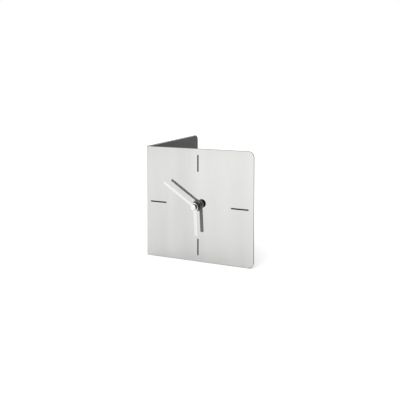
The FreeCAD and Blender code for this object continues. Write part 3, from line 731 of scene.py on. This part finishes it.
def make_cap():
    """Cap with a polished chamfer and end, and black sides that are painted shade for its dark side
    walls.
    """
    front, back = behind("hub_cap")
    size = radius("hub_cap")
    outline = [
        (0.0, front), (size - CAP_CHAMFER, front), (size, front + CAP_CHAMFER), (size, back),
        (MINUTE_TUBE, back), (MINUTE_TUBE, back - CAP_BORE), (0.0, back - CAP_BORE),
    ]
    mesh = axis_mesh("cap", outline, [0, 0.3 * MM, 0.3 * MM, 0.12 * MM, 0, 0, 0])
    # Faces behind the chamfer take the black painted shade; the end and chamfer stay polished.
    for polygon in mesh.polygons:
        polygon.material_index = 1 if polygon.center.y < DIAL_Y + front + CAP_CHAMFER else 0
    smooth(mesh, 40)
    new_piece("cap", mesh, ["black_cap", "cap_end"], "minute_group", ["hub_cap"])


def blade_mesh(name, node, bore, eye):
    """Baton hand: a bar with softened edges and a round eye, read from the CAD hand."""
    low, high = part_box(node)
    points = [
        Vector((v.co.x - HUB_X, v.co.z - HUB_Z))
        for v in NODES[node].data.vertices
    ]
    far = max(p.length for p in points)
    ends = [p for p in points if p.length > far - 0.02 * MM]
    first = ends[0]
    other = max(ends, key=lambda p: (p - first).length)
    half = (other - first).length / 2
    middle = (first + other) / 2
    length = middle.length
    heading = math.atan2(middle.y, middle.x)
    start = math.degrees(math.asin(half / eye))
    outline = arc(0.0, 0.0, eye, start, 360 - start, 56)
    outline += rounded_tip(length, half)
    hole = arc(0.0, 0.0, bore, 0, 360, 40)[:-1]
    cosine, sine = math.cos(heading), math.sin(heading)
    loops = []
    for loop in (outline, hole):
        loops.append([(x * cosine - z * sine, x * sine + z * cosine) for x, z in loop])
    work = plate(loops, high.y - low.y, [BLADE_EDGE, BLADE_EDGE])
    for vertex in work.verts:
        vertex.co = vertex.co + Vector((HUB_X, low.y, HUB_Z))
    mesh = bpy.data.meshes.new(name)
    work.normal_update()
    kinds = [1 if face.normal.y > 0.4 else 0 for face in work.faces]
    work.to_mesh(mesh)
    work.free()
    for polygon, kind in zip(mesh.polygons, kinds):
        polygon.material_index = kind
        polygon.use_smooth = abs(polygon.normal.y) < FLAT
    return mesh


def rounded_tip(length, half):
    low = arc(length - TIP_SOFT, -half + TIP_SOFT, TIP_SOFT, -90, 0, 4)
    high = arc(length - TIP_SOFT, half - TIP_SOFT, TIP_SOFT, 0, 90, 4)
    return low + high


def make_hands():
    hour = blade_mesh("hour_blade", "hour_hand", HOUR_TUBE, HOUR_EYE)
    new_piece(
        "hour_blade", hour, ["hand_front", "hand_back"], "hour_group", ["hour_hand"],
    )
    minute = blade_mesh("minute_blade", "minute_hand", MINUTE_TUBE, MINUTE_EYE)
    new_piece(
        "minute_blade", minute, ["hand_front", "hand_back"], "minute_group", ["minute_hand"],
    )


def make_bosses():
    outline = ring_outline("minute_boss", MINUTE_TUBE)
    mesh = axis_mesh("minute_collar", outline, [0, 0.25 * MM, 0.08 * MM, 0])
    front, _ = behind("minute_boss")
    # Only the front face stays polished; the sides and back take the black, painted shade beside
    # the bright front ring.
    for polygon in mesh.polygons:
        polygon.material_index = 0 if polygon.center.y < DIAL_Y + front + 0.2 * MM else 1
    smooth(mesh, 50)
    new_piece(
        "minute_collar", mesh, ["hand_front", "black_brass"], "minute_group", ["minute_boss"],
    )
    outline = ring_outline("hour_boss", HOUR_TUBE)
    mesh = axis_mesh("hour_collar", outline, [0, 0.05 * MM, 0.2 * MM, 0.1 * MM])
    smooth(mesh, 50)
    new_piece("hour_collar", mesh, ["black_brass"], "hour_group", ["hour_boss"])


# ---- moulded case and knob


SHARP = math.radians(30.0)


def softened(name, node, width, body):
    """Black plastic copy of a CAD node with its sharp edges rounded, in place of the node."""
    mesh = NODES[node].data.copy()
    mesh.name = name
    mesh.materials.clear()
    work = bmesh.new()
    work.from_mesh(mesh)
    bmesh.ops.remove_doubles(work, verts=work.verts, dist=2e-6)
    bmesh.ops.dissolve_limit(
        work, angle_limit=math.radians(1.0), verts=work.verts, edges=work.edges,
    )
    work.normal_update()
    sharp = []
    for edge in work.edges:
        if len(edge.link_faces) == 2 and edge.calc_face_angle(0.0) > SHARP:
            sharp.append(edge)
    bmesh.ops.bevel(
        work, geom=sharp, offset=width, segments=2, profile=0.5, affect="EDGES",
        offset_type="OFFSET", clamp_overlap=True,
    )
    bmesh.ops.triangulate(work, faces=[f for f in work.faces if len(f.verts) > 4])
    work.to_mesh(mesh)
    work.free()
    smooth(mesh, 50)
    return new_piece(name, mesh, ["black_plastic"], body, [node])


def make_case():
    softened("case_body", "front_housing", 0.2 * MM, "clock_body")
    softened("case_lid", "rear_cover", 0.15 * MM, "clock_body")
    softened("time_knob", "setting_knob", 0.12 * MM, "setting_group")


# ---- CAD nodes that stay, with their finish

KEPT = {
    # near-black liner: painted shade on the flange's inner side
    "inner_liner": "dark_liner",
    "rubber_gasket": "black_rubber",
    "middle_plate": "white_plastic",
    "hour_wheel": "white_plastic",
    "minute_tube": "brass",
    "minute_wheel": "white_plastic",
    "centre_wheel": "white_plastic",
    "clutch_spring": "spring_brass",
    "third_wheel": "white_plastic",
    "second_wheel": "white_plastic",
    "fifth_wheel": "white_plastic",
    "rotor_pinion": "white_plastic",
    "rotor_magnet": "magnet",
    "stator": "iron",
    "coil_core": "iron",
    "coil_bobbin": "white_plastic",
    "coil_winding": "enamelled_copper",
    "circuit_board": "board",
    "chip": "resin",
    "quartz_crystal": "plain_steel",
    "positive_contact": "nickel",
    "negative_contact": "nickel",
    "battery": "cell_can",
    "battery_sleeve": "cell_sleeve",
}


def finish_kept():
    for node, look in KEPT.items():
        data = NODES[node].data
        data.materials.clear()
        data.materials.append(LOOKS[look])


# ---- stage

FLOOR_SIZE = 6.0
FLOOR_TONE = 0.8
SKY_STRENGTH = 1.5
SKY_WIDTH = math.radians(100)
SOFTBOX_POWER = 6.0
SOFTBOX_SIZE = 1.0
SOFTBOX_PLACE = Vector((0.0, -0.9, 1.0))  # from the dial's centre


def floor_paper():
    """Plain pale paper with a very faint grain."""
    m = Nodes("floor")
    m.set(Roughness=0.95, Specular_IOR_Level=0.1)
    grain = m.noise(40.0, 3.0)
    m.link(m.ramp(grain, FLOOR_TONE * 0.995, FLOOR_TONE * 1.005), m.shader.inputs["Base Color"])
    return m.material


def make_floor():
    mesh = bpy.data.meshes.new("floor")
    half = FLOOR_SIZE / 2
    mesh.from_pydata(
        [(-half, -half, 0), (half, -half, 0), (half, half, 0), (-half, half, 0)], [], [(0, 1, 2, 3)]
    )
    floor = bpy.data.objects.new("floor", mesh)
    floor.location.z = SHEET_LOW.z - 0.05 * MM
    SCENE.collection.objects.link(floor)
    mesh.materials.append(floor_paper())


def make_world():
    world = bpy.data.worlds.new("studio")
    world.use_nodes = True
    background = world.node_tree.nodes["Background"]
    background.inputs["Color"].default_value = (1.0, 1.0, 1.0, 1.0)
    background.inputs["Strength"].default_value = 1.0
    SCENE.world = world


def make_sky_light():
    """A very broad soft light from above and a little in front of the clock."""
    data = bpy.data.lights.new("sky", "SUN")
    data.energy = SKY_STRENGTH
    data.angle = SKY_WIDTH
    light = bpy.data.objects.new("sky", data)
    SCENE.collection.objects.link(light)
    light.rotation_euler = (math.radians(12), math.radians(-6), 0.0)


def make_softbox():
    """A large soft lamp overhead, well in front of the clock."""
    data = bpy.data.lights.new("softbox", "AREA")
    data.energy = SOFTBOX_POWER
    data.size = SOFTBOX_SIZE
    light = bpy.data.objects.new("softbox", data)
    SCENE.collection.objects.link(light)
    light.location = DIAL_CENTRE + SOFTBOX_PLACE


def make_stage():
    make_floor()
    make_world()
    make_sky_light()
    make_softbox()
    SCENE.view_settings.view_transform = "Standard"


def main():
    make_camera()
    make_materials()
    make_stage()
    make_sheet()
    make_washer()
    make_nut()
    make_bushing()
    make_cap()
    make_hands()
    make_bosses()
    make_case()
    finish_kept()


main()
